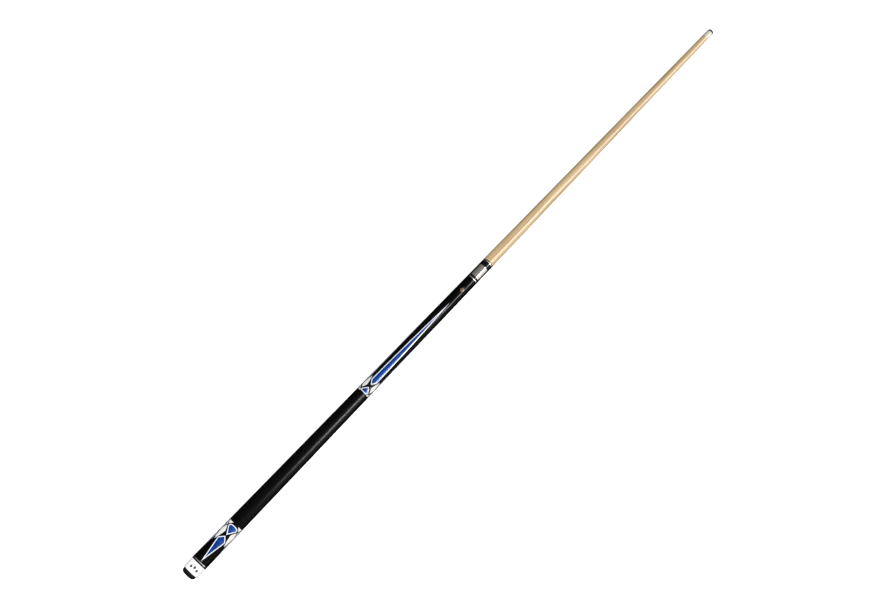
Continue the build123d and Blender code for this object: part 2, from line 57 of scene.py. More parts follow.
BORDER_WIDTH = 1.3 * MM           # white line round a blue inlay
INLAY_DEPTH = 1.3 * MM
BLUE_DEPTH = 0.8 * MM
MARK_DEPTH = 0.6 * MM
WAVE_BANDS = 3.18                 # bands that Blender's wave texture draws in one unit


def start_of(node):
    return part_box(node)[0].x


def end_of(node):
    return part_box(node)[1].x


def radius_of(node):
    """Largest outside radius of a turned node."""
    low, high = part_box(node)
    return (high.z - low.z) / 2


# The outside of the butt is one straight cone, and the outside of the shaft is another.
CAP_START = start_of("butt_cap")
RING_START = start_of("cap_black_ring")
SLEEVE_START = start_of("butt_sleeve")
WRAP_START = start_of("handle_wrap")
FOREARM_START = start_of("forearm")
FOREARM_END = start_of("joint_silver_ring")
JOINT_FACE = end_of("joint_collar")
MAPLE_START = end_of("shaft_black_ring")
FERRULE_START = start_of("ferrule")
TIP_START = start_of("tip")
TIP_END = end_of("tip")
TIP_RADIUS = radius_of("ferrule")
JOINT_RADIUS = radius_of("shaft_collar")
RING_RADIUS = radius_of("cap_black_ring")
CUTTER_TOP = RING_RADIUS * 1.1    # height of every cutting prism, clear of the butt
CAP_BORE = 6.2 * MM
SLEEVE_BORE = 10 * MM
FOREARM_BORE = 8.5 * MM
TENON_RADIUS = 7.5 * MM
SHAFT_TENON_RADIUS = 8.25 * MM
INSERT_RADIUS = 6 * MM
FERRULE_BORE = 4.5 * MM
PAD_BORE = 1.0 * MM
BUTT_SLOPE = (JOINT_RADIUS - RING_RADIUS) / (JOINT_FACE - RING_START)
SHAFT_SLOPE = (TIP_RADIUS - JOINT_RADIUS) / (FERRULE_START - JOINT_FACE)


def butt_radius(x):
    return RING_RADIUS + (x - RING_START) * BUTT_SLOPE


def shaft_radius(x):
    return JOINT_RADIUS + (x - JOINT_FACE) * SHAFT_SLOPE


def reach(x, half_angle):
    """Half width at x of a flat shape that spans this half angle of the butt."""
    return butt_radius(x) * math.sin(math.radians(half_angle))


# ---------------------------------------------------------------- materials
def new_material(name, color, roughness, metallic=0.0, specular=0.5, coat=0.0, coat_roughness=0.03):
    """Principled material with its constants on the shader's own sockets."""
    material = bpy.data.materials.new(name)
    material.use_nodes = True
    shader = material.node_tree.nodes["Principled BSDF"]
    shader.inputs["Base Color"].default_value = (*color, 1)
    shader.inputs["Roughness"].default_value = roughness
    shader.inputs["Metallic"].default_value = metallic
    shader.inputs["Specular IOR Level"].default_value = specular
    shader.inputs["Coat Weight"].default_value = coat
    shader.inputs["Coat Roughness"].default_value = coat_roughness
    material.diffuse_color = (*color, 1)
    return material


def node(material, kind, **settings):
    """Adds one node and sets its properties and inputs by name."""
    made = material.node_tree.nodes.new(kind)
    for key, value in settings.items():
        if hasattr(made, key):
            setattr(made, key, value)
        else:
            made.inputs[key.replace("_", " ").title()].default_value = value
    return made


def link(material, source, target):
    material.node_tree.links.new(source, target)


def shader_of(material):
    return material.node_tree.nodes["Principled BSDF"]


def stretched_coordinates(material, scale):
    """Object coordinates, scaled along each axis."""
    place = node(material, "ShaderNodeTexCoord")
    stretch = node(material, "ShaderNodeMapping")
    stretch.inputs["Scale"].default_value = scale
    link(material, place.outputs["Object"], stretch.inputs["Vector"])
    return stretch.outputs["Vector"]


def noise(material, scale, detail=4.0, roughness=0.55, distortion=0.0):
    """Noise over stretched object coordinates; scale is in features per metre along each axis."""
    made = node(
        material, "ShaderNodeTexNoise", detail=detail, roughness=roughness, distortion=distortion, scale=1.0
    )
    link(material, stretched_coordinates(material, scale), made.inputs["Vector"])
    return made.outputs["Fac"]


def ramp(material, factor, stops):
    """Colour ramp from (position, colour) stops."""
    made = node(material, "ShaderNodeValToRGB")
    elements = made.color_ramp.elements
    while len(elements) < len(stops):
        elements.new(0.5)
    for element, (position, color) in zip(elements, stops):
        element.position = position
        element.color = (*color, 1)
    link(material, factor, made.inputs["Fac"])
    return made.outputs["Color"]


def mix_colors(material, factor, first, second, blend="MIX"):
    made = node(material, "ShaderNodeMix", data_type="RGBA", blend_type=blend)
    for value, socket in ((factor, made.inputs[0]), (first, made.inputs[6]), (second, made.inputs[7])):
        if isinstance(value, (int, float)):
            socket.default_value = value
        elif isinstance(value, tuple):
            socket.default_value = (*value, 1)
        else:
            link(material, value, socket)
    return made.outputs[2]


def spread(material, factor, low, high):
    """Maps a 0 to 1 factor to a range, for roughness."""
    made = node(material, "ShaderNodeMapRange")
    made.inputs["To Min"].default_value = low
    made.inputs["To Max"].default_value = high
    link(material, factor, made.inputs["Value"])
    return made.outputs["Result"]


def add_bump(material, height, distance, strength=1.0, coat=False):
    made = node(material, "ShaderNodeBump")
    made.inputs["Strength"].default_value = strength
    made.inputs["Distance"].default_value = distance
    link(material, height, made.inputs["Height"])
    link(material, made.outputs["Normal"], shader_of(material).inputs["Normal"])
    if coat:
        link(material, made.outputs["Normal"], shader_of(material).inputs["Coat Normal"])


def color_from(material, socket):
    link(material, socket, shader_of(material).inputs["Base Color"])


def roughness_from(material, socket):
    link(material, socket, shader_of(material).inputs["Roughness"])


def rings_along(material, per_metre, distortion=0.0):
    """Fine rings round the axis, as from turning or winding."""
    made = node(material, "ShaderNodeTexWave", wave_type="BANDS", bands_direction="X")
    made.inputs["Scale"].default_value = 1.0
    made.inputs["Distortion"].default_value = distortion
    made.inputs["Detail"].default_value = 1.0
    link(material, stretched_coordinates(material, (per_metre / WAVE_BANDS, 40, 40)), made.inputs["Vector"])
    return made.outputs["Fac"]


def lacquered_black():
    material = new_material(
        "black_lacquer", (0.002, 0.002, 0.0025), 0.3, specular=0.05, coat=0.08, coat_roughness=0.05
    )
    grain = noise(material, (14, 420, 420), detail=6)
    stops = [(0.35, (0.0005, 0.0005, 0.0006)), (0.75, (0.0018, 0.0015, 0.0013))]
    color_from(material, ramp(material, grain, stops))
    add_bump(material, noise(material, (60, 60, 60), detail=2), 0.004 * MM, 0.1, coat=True)
    return material


def pearl_blue():
    material = new_material(
        "pearl_blue", (0.004, 0.04, 0.45), 0.42, metallic=0.25, specular=0.2, coat=0.12, coat_roughness=0.08
    )
    bands = noise(material, (900, 90, 90), detail=3, roughness=0.6)
    clouds = noise(material, (120, 60, 60), detail=4)
    deep = ramp(material, clouds, [(0.3, (0.0, 0.009, 0.11)), (0.7, (0.0, 0.032, 0.26))])
    light = ramp(material, bands, [(0.4, (0.0, 0.014, 0.15)), (0.72, (0.002, 0.12, 0.43))])
    color_from(material, mix_colors(material, 0.5, deep, light))
    roughness_from(material, spread(material, bands, 0.26, 0.42))
    return material


def veneer_white(name, low, high):
    material = new_material(name, high, 0.4, coat=0.7)
    fibres = noise(material, (25, 700, 700), detail=5)
    color_from(material, ramp(material, fibres, [(0.3, low), (0.7, high)]))
    add_bump(material, fibres, 0.01 * MM, 0.3)
    return material


def plain_plastic(name, low, high, roughness, specular=0.5, coat=0.0):
    material = new_material(name, high, roughness, specular=specular, coat=coat)
    mottle = noise(material, (90, 90, 90), detail=5)
    color_from(material, ramp(material, mottle, [(0.3, low), (0.7, high)]))
    fine = noise(material, (1800, 260, 260), detail=2)
    roughness_from(material, spread(material, fine, roughness * 0.8, roughness * 1.3))
    add_bump(material, fine, 0.008 * MM, 0.4)
    return material


def turned_metal(name, low, high, roughness, per_metre=5200):
    material = new_material(name, high, roughness, metallic=1.0)
    lines = noise(material, (per_metre, 12, 12), detail=3, roughness=0.7)
    color_from(material, ramp(material, lines, [(0.3, low), (0.7, high)]))
    roughness_from(material, spread(material, lines, roughness * 0.8, roughness * 1.3))
    add_bump(material, lines, 0.002 * MM, 0.2)
    return material


def rubber():
    material = new_material("rubber", (0.004, 0.004, 0.004), 0.38, specular=0.2)
    bloom = noise(material, (60, 60, 60), detail=6)
    stops = [(0.3, (0.002, 0.002, 0.0022)), (0.8, (0.007, 0.007, 0.0075))]
    color_from(material, ramp(material, bloom, stops))
    fine = noise(material, (900, 900, 900), detail=4)
    roughness_from(material, spread(material, fine, 0.36, 0.56))
    add_bump(material, fine, 0.05 * MM, 0.5)
    return material


def linen():
    material = new_material("linen", (0.003, 0.003, 0.0035), 0.26, specular=0.13)
    threads = rings_along(material, 2100, distortion=0.6)
    fibres = noise(material, (700, 2600, 2600), detail=4)
    specks = ramp(material, fibres, [(0.35, (0.0004, 0.0004, 0.0005)), (0.72, (0.002, 0.002, 0.002))])
    color_from(material, mix_colors(material, threads, (0.0003, 0.0003, 0.0003), specks))
    roughness_from(material, spread(material, fibres, 0.24, 0.36))
    add_bump(material, threads, 0.05 * MM, 0.4)
    return material


def maple():
    material = new_material("maple", (0.66, 0.47, 0.24), 0.4, specular=0.4, coat=0.05, coat_roughness=0.25)
    broad = noise(material, (2.2, 90, 90), detail=5, distortion=0.4)
    figure = noise(material, (9, 420, 420), detail=6, roughness=0.65)
    pores = noise(material, (60, 2600, 2600), detail=2)
    base = ramp(material, broad, [(0.3, (0.56, 0.40, 0.205)), (0.72, (0.72, 0.555, 0.33))])
    lines = ramp(material, figure, [(0.34, (0.66, 0.54, 0.40)), (0.6, (1.0, 1.0, 1.0))])
    specks = ramp(material, pores, [(0.28, (0.74, 0.62, 0.48)), (0.40, (1.0, 1.0, 1.0))])
    grained = mix_colors(material, 0.8, base, lines, "MULTIPLY")
    color_from(material, mix_colors(material, 0.6, grained, specks, "MULTIPLY"))
    roughness_from(material, spread(material, figure, 0.30, 0.46))
    add_bump(material, pores, 0.01 * MM, 0.35)
    return material


def raw_wood():
    material = new_material("core_maple", (0.66, 0.48, 0.28), 0.6)
    grain = noise(material, (8, 300, 300), detail=6)
    color_from(material, ramp(material, grain, [(0.3, (0.52, 0.35, 0.19)), (0.7, (0.74, 0.57, 0.36))]))
    add_bump(material, grain, 0.05 * MM, 0.4)
    return material


def leather():
    material = new_material("leather", (0.02, 0.018, 0.014), 0.7, specular=0.2)
    fibre = noise(material, (1500, 900, 900), detail=6, roughness=0.7)
    color_from(material, ramp(material, fibre, [(0.3, (0.008, 0.007, 0.006)), (0.75, (0.032, 0.027, 0.020))]))
    add_bump(material, fibre, 0.08 * MM, 0.7)
    return material


BLACK = lacquered_black()
BLUE = pearl_blue()
WHITE = veneer_white("veneer_white", (0.72, 0.76, 0.84), (0.86, 0.89, 0.95))
CREAM = veneer_white("veneer_cream", (0.70, 0.70, 0.66), (0.88, 0.87, 0.83))
BRONZE = plain_plastic("bronze", (0.07, 0.036, 0.013), (0.15, 0.085, 0.032), 0.35, coat=0.1)
CAP = plain_plastic("cap_plastic", (0.84, 0.835, 0.81), (0.91, 0.905, 0.885), 0.3, coat=0.1)
GREY_MARK = plain_plastic("mark_grey", (0.015, 0.015, 0.016), (0.07, 0.07, 0.072), 0.35)
PHENOLIC = plain_plastic(
    "phenolic_black", (0.0015, 0.0015, 0.0015), (0.003, 0.003, 0.003), 0.2, specular=0.18
)
FERRULE = plain_plastic("ferrule_ivory", (0.62, 0.575, 0.44), (0.74, 0.70, 0.58), 0.3, coat=0.05)
FIBRE = plain_plastic("pad_fibre", (0.012, 0.009, 0.008), (0.03, 0.022, 0.02), 0.6, specular=0.2)
SILVER = turned_metal("ring_silver", (0.74, 0.74, 0.76), (0.92, 0.92, 0.93), 0.22)
STEEL = turned_metal("stainless", (0.62, 0.58, 0.51), (0.80, 0.76, 0.68), 0.13)
BRASS = turned_metal("brass", (0.62, 0.42, 0.16), (0.80, 0.60, 0.28), 0.25)
ZINC = turned_metal("zinc_steel", (0.45, 0.45, 0.46), (0.62, 0.62, 0.63), 0.35)
RUBBER = rubber()
LINEN = linen()
MAPLE = maple()
RAW_WOOD = raw_wood()
LEATHER = leather()


# ---------------------------------------------------------------- mesh building
def make_object(name, mesh):
    made = bpy.data.objects.new(name, mesh)
    bpy.context.scene.collection.objects.link(made)
    return made


def turned(name, profile, closed=False):
    """Turns a profile of (x, radius) points about the X axis. A closed profile makes a tube."""
    vertices, rings = [], []
    for x, radius in profile:
        if radius == 0:
            rings.append([len(vertices)])
            vertices.append((x, 0, 0))
            continue
        rings.append(list(range(len(vertices), len(vertices) + SEGMENTS)))
        for index in range(SEGMENTS):
            angle = 2 * math.pi * (index + FACET_TURN) / SEGMENTS
            vertices.append((x, radius * math.sin(angle), radius * math.cos(angle)))
    faces = []
    pairs = list(zip(rings, rings[1:] + ([rings[0]] if closed else [])))
    for first, second in pairs[: len(rings) if closed else len(rings) - 1]:
        for index in range(SEGMENTS):
            after = (index + 1) % SEGMENTS
            a, b = first[index % len(first)], first[after % len(first)]
            c, d = second[after % len(second)], second[index % len(second)]
            corners = []
            for corner in (a, b, c, d):
                if corner not in corners:
                    corners.append(corner)
            faces.append(corners)
    mesh = bpy.data.meshes.new(name)
    mesh.from_pydata(vertices, [], faces)
    mesh.update()
    volume = sum(face.center.dot(face.normal) * face.area for face in mesh.polygons)
    if volume < 0:
        mesh.flip_normals()
    mesh.shade_smooth()
    mesh.set_sharp_from_angle(angle=SHARP_ANGLE)
    return make_object(name, mesh)


def tube_profile(start, end, bore, outside, front_seam=SEAM, rear_seam=SEAM):
    """Closed profile of a tapered tube with a small bevel at each outer edge."""
    return [
        (start, bore),
        (start, outside(start) - rear_seam),
        (start + rear_seam, outside(start + rear_seam)),
        (end - front_seam, outside(end - front_seam)),
        (end, outside(end) - front_seam),
        (end, bore),
    ]


def finish_piece(piece, body, nodes, material):
    piece.data.materials.clear()
    piece.data.materials.append(material)
    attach(piece, body)
    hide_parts(*nodes)
    return piece


def prism(sides, bottoms, turns):
    """Upright prisms over flat mirrored outlines, turned about the X axis, as one cutting mesh."""
    vertices, faces = [], []
    for side, bottom, turn in zip(sides, bottoms, turns):
        ring = list(side) + [(x, -y) for x, y in reversed(side[1:-1])]
        first = len(vertices)
        count = len(ring)
        rotation = Matrix.Rotation(turn, 3, "X")
        for height in (bottom, CUTTER_TOP):
            vertices.extend(rotation @ Vector((x, y, height)) for x, y in ring)
        faces.append([first + index for index in reversed(range(count))])
        faces.append([first + count + index for index in range(count)])
        for index in range(count):
            after = (index + 1) % count
            faces.append([first + index, first + after, first + count + after, first + count + index])
    mesh = bpy.data.meshes.new("cutter")
    mesh.from_pydata(vertices, [], faces)
    mesh.update()
    volume = sum(face.center.dot(face.normal) * face.area for face in mesh.polygons)
    if volume < 0:
        mesh.flip_normals()
    return make_object("cutter", mesh)


def combine(target, cutter, operation):
    """Boolean of two meshes, with the result left in the target's own mesh."""
    modifier = target.modifiers.new("cut", "BOOLEAN")
    modifier.operation = operation
    modifier.solver = "EXACT"
    modifier.object = cutter
    bpy.context.view_layer.update()
    evaluated = target.evaluated_get(bpy.context.evaluated_depsgraph_get())
    mesh = bpy.data.meshes.new_from_object(evaluated)
    target.modifiers.clear()
    old = target.data
    target.data = mesh
    bpy.data.meshes.remove(old)


def remove(made):
    mesh = made.data
    bpy.data.objects.remove(made)
    bpy.data.meshes.remove(mesh)


def cone_normals(piece, outside, slope):
    """Gives each face on the outer cone the cone's own normals, so that cut faces shade as one surface."""
    mesh = piece.data
    normals = []
    for face in mesh.polygons:
        face.use_smooth = True
        points = [mesh.vertices[index].co for index in face.vertices]
        on_cone = all(abs(math.hypot(p.y, p.z) - outside(p.x)) < ON_CONE for p in points)
        for point in points:
            if on_cone:
                radius = math.hypot(point.y, point.z)
                normals.append(Vector((-slope, point.y / radius, point.z / radius)).normalized())
            else:
                normals.append(face.normal.copy())
    mesh.normals_split_custom_set(normals)


# ---------------------------------------------------------------- inlay outlines
def arc_points(start, middle, end, count=12):
    """Points along the circle through three points, without the first."""
    (ax, ay), (bx, by), (cx, cy) = start, middle, end
    d = 2 * (ax * (by - cy) + bx * (cy - ay) + cx * (ay - by))
    ux = ((ax**2 + ay**2) * (by - cy) + (bx**2 + by**2) * (cy - ay) + (cx**2 + cy**2) * (ay - by)) / d
    uy = ((ax**2 + ay**2) * (cx - bx) + (bx**2 + by**2) * (ax - cx) + (cx**2 + cy**2) * (bx - ax)) / d
    radius = math.hypot(ax - ux, ay - uy)
    first = math.atan2(ay - uy, ax - ux)
    last = math.atan2(cy - uy, cx - ux)
    sweep = (last - first + math.pi) % (2 * math.pi) - math.pi
    angles = [first + sweep * step / count for step in range(1, count + 1)]
    return [(ux + radius * math.cos(angle), uy + radius * math.sin(angle)) for angle in angles]


def inset_side(side, width):
    """Moves one side of a mirrored outline inwards, and ends it where it meets the middle line."""
    moved = []
    for index, (x, y) in enumerate(side):
        before = side[max(index - 1, 0)]
        after = side[min(index + 1, len(side) - 1)]
        if index == 0:
            before = (after[0], -after[1])
        if index == len(side) - 1:
            after = (before[0], -before[1])
        into = Vector((x - before[0], y - before[1])).normalized()
        out = Vector((after[0] - x, after[1] - y)).normalized()
        inward_in = Vector((into.y, -into.x))
        inward_out = Vector((out.y, -out.x))
        bisector = (inward_in + inward_out).normalized()
        reach_in = width / max(bisector.dot(inward_in), 0.05)
        moved.append((x + bisector.x * reach_in, y + bisector.y * reach_in))
    inside = [point for point in moved[1:-1] if point[1] > 0]
    return [moved[0]] + inside + [moved[-1]]


def ascending(side):
    """An outline's side with x going up at its start, so that the inside is always to the same hand."""
    return side if side[0][0] < side[-1][0] else list(reversed(side))


SPEAR_SHOULDER = 43.0 * MM
SPEAR_FLAT = 2.6 * MM
FAN_SHOULDER = 13.7 * MM
FAN_END_ANGLE = 27.0
FAN_BULGE = 0.9 * MM
DROP_BLUNT = 9.2 * MM
DROP_ANGLE = 21.0
DROP_FULLNESS = 0.62
CORNER_ANGLE = 23.0
LONG_SHOULDER = 8.6 * MM
LONG_FLAT = 5.6 * MM
LONG_MIDDLE = 0.65
FORE_FAN_SHOULDER = 9.7 * MM
FORE_FAN_ANGLE = 37.6
FORE_FAN_END_ANGLE = 23.7
FORE_FAN_BULGE = 0.3 * MM
FORE_CORNER_ANGLE = 16.0
MARK_ANGLE = 9.5
MARK_STEP = math.radians(24)
DIAMOND_ANGLE = 22.0


def half_width_of(node):
    low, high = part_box(node)
    return (high.y - low.y) / 2


def spear_side():
    tip, rear = start_of("sleeve_spear_border_1"), end_of("sleeve_spear_border_1")
    wide = half_width_of("sleeve_spear_border_1")
    return [(tip, 0), (tip + SPEAR_SHOULDER, wide), (tip + SPEAR_SHOULDER + SPEAR_FLAT, wide), (rear, 0)]


def fan_side(point, crown, shoulder, wide, end_wide, bulge):
    direction = math.copysign(1, crown - point)
    end = crown - direction * bulge
    corner = (end, end_wide)
    curve = arc_points(corner, (crown, 0), (end, -end_wide), count=12)[:6]
    curve[-1] = (crown, 0)
    return ascending([(point, 0), (point + direction * shoulder, wide), corner] + curve)


def drop_side(blunt_end, tip, half_angle):
    wide = blunt_end + math.copysign(DROP_BLUNT, tip - blunt_end)
    half_width = reach(wide, half_angle)
    full = half_width * DROP_FULLNESS
    head = arc_points((blunt_end, 0), ((blunt_end + wide) / 2, full), (wide, half_width), count=14)
    body = arc_points((wide, half_width), ((wide + tip) / 2, full), (tip, 0), count=20)
    body[-1] = (tip, 0)
    return ascending([(blunt_end, 0)] + head + body)


def corner_side(point, base, half_angle):
    """Triangle whose base runs past the end of the black piece, so that the cut goes through it."""
    beyond = base + (base - point) * 0.2
    return [(point, 0), (beyond, reach(base, half_angle) * 1.2), (beyond, 0)]


def long_spear_side():
    rear, tip = start_of("forearm_spear_border_1"), end_of("forearm_spear_border_1")
    wide = half_width_of("forearm_spear_border_1")
    curve_start = (rear + LONG_SHOULDER + LONG_FLAT, wide)
    middle = ((curve_start[0] + tip) / 2, wide * LONG_MIDDLE)
    curve = arc_points(curve_start, middle, (tip, 0), count=40)
    curve[-1] = (tip, 0)
    return [(rear, 0), (rear + LONG_SHOULDER, wide), curve_start] + curve


def lozenge_side(node_low, node_high, half_angle):
    middle = (node_low + node_high) / 2
    return [(node_low, 0), (middle, reach(middle, half_angle)), (node_high, 0)]


def bottom_under(side, depth):
    """Height of a pocket's flat floor, a depth under the surface at the outline's widest place."""
    x, y = max(side, key=lambda point: point[1])
    return math.sqrt(max(butt_radius(x) ** 2 - y**2, 0)) - depth


def cut_piece(name, blank, sides, depth, turns, hollow=None):
    """A piece of the blank under flat outlines, less the shapes of the pieces that sit in it."""
    piece = make_object(name, blank.data.copy())
    cutter = prism(sides, [bottom_under(side, depth) for side in sides], turns)
    combine(piece, cutter, "INTERSECT")
    remove(cutter)
    if hollow:
        inner = prism(hollow, [bottom_under(side, BLUE_DEPTH) for side in hollow], turns)
        combine(piece, inner, "DIFFERENCE")
        remove(inner)
    cone_normals(piece, butt_radius, BUTT_SLOPE)
    return piece


def cut_pockets(blank, groups):
    """Cuts every inlay's pocket out of the black blank. Groups are (side, depth, turns)."""
    for side, depth, turns in groups:
        cutter = prism([side] * len(turns), [bottom_under(side, depth)] * len(turns), turns)
        combine(blank, cutter, "DIFFERENCE")
        remove(cutter)
    cone_normals(blank, butt_radius, BUTT_SLOPE)


AT_SPEARS = [-index * QUARTER for index in WAYS]
AT_DROPS = [turn - QUARTER / 2 for turn in AT_SPEARS]


def inlay_set(blank, shape, names, nodes, turns_of_each):
    """Blue pieces and their white borders, one pair of pieces for each entry."""
    inner = inset_side(shape, BORDER_WIDTH)
    for (blue_name, border_name), (blue_node, border_node), turns in zip(names, nodes, turns_of_each):
        blue = cut_piece(blue_name, blank, [inner] * len(turns), BLUE_DEPTH, turns)
        finish_piece(blue, "butt", [blue_node], BLUE)
        shapes, hollow = [shape] * len(turns), [inner] * len(turns)
        border = cut_piece(border_name, blank, shapes, INLAY_DEPTH, turns, hollow)
        finish_piece(border, "butt", [border_node], WHITE)


def numbered_set(blank, shape, node_name):
    """One blue piece and one border at each of the four ways round, each standing for its own CAD node."""
    count = [str(index + 1) for index in WAYS]
    inlay_set(
        blank,
        shape,
        [(f"{node_name}_blue_{n}", f"{node_name}_line_{n}") for n in count],
        [(f"{node_name}_{n}", f"{node_name}_border_{n}") for n in count],
        [[turn] for turn in AT_SPEARS],
    )


def white_set(blank, side, name, node_name):
    piece = cut_piece(name, blank, [side] * len(AT_DROPS), INLAY_DEPTH, AT_DROPS)
    finish_piece(piece, "butt", [node_name], CREAM)


# ---------------------------------------------------------------- sleeve
def build_sleeve():
    profile = tube_profile(SLEEVE_START, WRAP_START, SLEEVE_BORE, butt_radius)
    blank = turned("sleeve_black", profile, closed=True)
    spear = spear_side()
    fan = fan_side(
        start_of("sleeve_fan_border_1"),
        end_of("sleeve_fan_border_1"),
        FAN_SHOULDER,
        half_width_of("sleeve_fan_border_1"),
        reach(end_of("sleeve_fan_border_1"), FAN_END_ANGLE),
        FAN_BULGE,
    )
    drop = drop_side(end_of("sleeve_drops"), start_of("sleeve_drops"), DROP_ANGLE)
    corner = corner_side(start_of("sleeve_corners"), WRAP_START, CORNER_ANGLE)
    numbered_set(blank, spear, "sleeve_spear")
    numbered_set(blank, fan, "sleeve_fan")
    white_set(blank, drop, "sleeve_drop_inlays", "sleeve_drops")
    white_set(blank, corner, "sleeve_corner_inlays", "sleeve_corners")
    pockets = [
        (spear, INLAY_DEPTH, AT_SPEARS),
        (fan, INLAY_DEPTH, AT_SPEARS),
        (drop, INLAY_DEPTH, AT_DROPS),
        (corner, INLAY_DEPTH, AT_DROPS),
    ]
    cut_pockets(blank, pockets)
    finish_piece(blank, "butt", ["butt_sleeve"], BLACK)


# ---------------------------------------------------------------- forearm
def build_forearm():
    profile = tube_profile(FOREARM_START, FOREARM_END, FOREARM_BORE, butt_radius)
    blank = turned("forearm_black", profile, closed=True)
    spear = long_spear_side()
    fan_point, fan_crown = end_of("forearm_fan_borders"), start_of("forearm_fan_borders")
    fan = fan_side(
        fan_point,
        fan_crown,
        FORE_FAN_SHOULDER,
        reach(fan_point - FORE_FAN_SHOULDER, FORE_FAN_ANGLE),
        reach(fan_crown, FORE_FAN_END_ANGLE),
        FORE_FAN_BULGE,
    )
    drop = drop_side(start_of("forearm_drops"), end_of("forearm_drops"), DROP_ANGLE)
    corner = corner_side(end_of("forearm_corners"), FOREARM_START, FORE_CORNER_ANGLE)
    corner = list(reversed(corner))
    diamond = lozenge_side(start_of("forearm_diamond"), end_of("forearm_diamond"), DIAMOND_ANGLE)
    numbered_set(blank, spear, "forearm_spear")
    inlay_set(
        blank,
        fan,
        [("forearm_fan_blues", "forearm_fan_lines")],
        [("forearm_fans", "forearm_fan_borders")],
        [AT_SPEARS],
    )
    white_set(blank, drop, "forearm_drop_inlays", "forearm_drops")
    white_set(blank, corner, "forearm_corner_inlays", "forearm_corners")
    lozenge = cut_piece("forearm_lozenge", blank, [diamond], MARK_DEPTH, [0.0])
    finish_piece(lozenge, "butt", ["forearm_diamond"], BRONZE)
    pockets = [
        (spear, INLAY_DEPTH, AT_SPEARS),
        (fan, INLAY_DEPTH, AT_SPEARS),
        (drop, INLAY_DEPTH, AT_DROPS),
        (corner, INLAY_DEPTH, AT_DROPS),
        (diamond, MARK_DEPTH, [0.0]),
    ]
    cut_pockets(blank, pockets)
    finish_piece(blank, "butt", ["forearm"], BLACK)


# ---------------------------------------------------------------- butt cap and bumper
def build_cap():
    edge = 1.0 * MM
    profile = [(CAP_START, CAP_BORE), (CAP_START, butt_radius(CAP_START) - edge)]
    for step in range(1, 9):
        angle = math.radians(90) * step / 8
        x = CAP_START + edge * (1 - math.cos(angle))
        profile.append((x, butt_radius(x) - edge * (1 - math.sin(angle))))
    profile += [
        (RING_START - SEAM, butt_radius(RING_START - SEAM)),
        (RING_START, butt_radius(RING_START) - SEAM),
        (RING_START, CAP_BORE),
    ]
    cap = turned("cap_shell", profile, closed=True)
    low, high = start_of("cap_ornament"), end_of("cap_ornament")
    stagger = 1.0 * MM
    sides, turns = [], []
    for index in (-1, 0, 1):
        shift = stagger if index == 0 else -stagger
        sides.append(lozenge_side(low + stagger + shift, high - stagger + shift, MARK_ANGLE))
        turns.append(index * MARK_STEP)
    mark = cut_piece("cap_lozenges", cap, sides, MARK_DEPTH, turns)
    finish_piece(mark, "butt", ["cap_ornament"], GREY_MARK)
    cutter = prism(sides, [bottom_under(side, MARK_DEPTH) for side in sides], turns)
    combine(cap, cutter, "DIFFERENCE")
    remove(cutter)
    cap.data.shade_smooth()
    cap.data.set_sharp_from_angle(angle=SHARP_ANGLE)
    finish_piece(cap, "butt", ["butt_cap"], CAP)


def build_bumper():
    end_radius = 7.8 * MM
    seat_radius = 13.3 * MM
    plug_radius = 6.0 * MM
    rib = 0.12 * MM
    plug_end = end_of("bumper")
    steps = 20
    profile = [
        (0.35 * MM, 0),
        (0.30 * MM, end_radius * 0.55),
        (0, end_radius * 0.62),
        (0, end_radius - 0.3 * MM),
    ]
    for step in range(steps + 1):
        angle = math.radians(90) * step / steps
        x = CAP_START * (1 - math.cos(angle))
        profile.append((x + 0.02 * MM, end_radius + (seat_radius - end_radius) * math.sin(angle)))
    profile += [(CAP_START - 0.02 * MM, seat_radius - 0.4 * MM), (CAP_START - 0.02 * MM, plug_radius)]
    plug_length = plug_end - CAP_START
    for place in (1, 2):
        middle = CAP_START + place * plug_length / 3
        profile += [
            (middle - 1.0 * MM, plug_radius),
            (middle - 0.2 * MM, plug_radius + rib),
            (middle + 0.2 * MM, plug_radius + rib),
            (middle + 1.0 * MM, plug_radius),
        ]
    profile += [(plug_end - 1.0 * MM, plug_radius), (plug_end, plug_radius - 1.0 * MM), (plug_end, 0)]
    bumper = turned("bumper_rubber_foot", profile)
    finish_piece(bumper, "bumper", ["bumper"], RUBBER)


# ---------------------------------------------------------------- plain turned pieces
def build_tube(name, cad_node, body, bore, outside, slot, material, clear=0.0, **seams):
    start, end = start_of(cad_node) + clear, end_of(cad_node) - clear
    piece = turned(name, tube_profile(start, end, bore + clear, outside, **seams), closed=True)
    return finish_piece(piece, body, [cad_node], material)


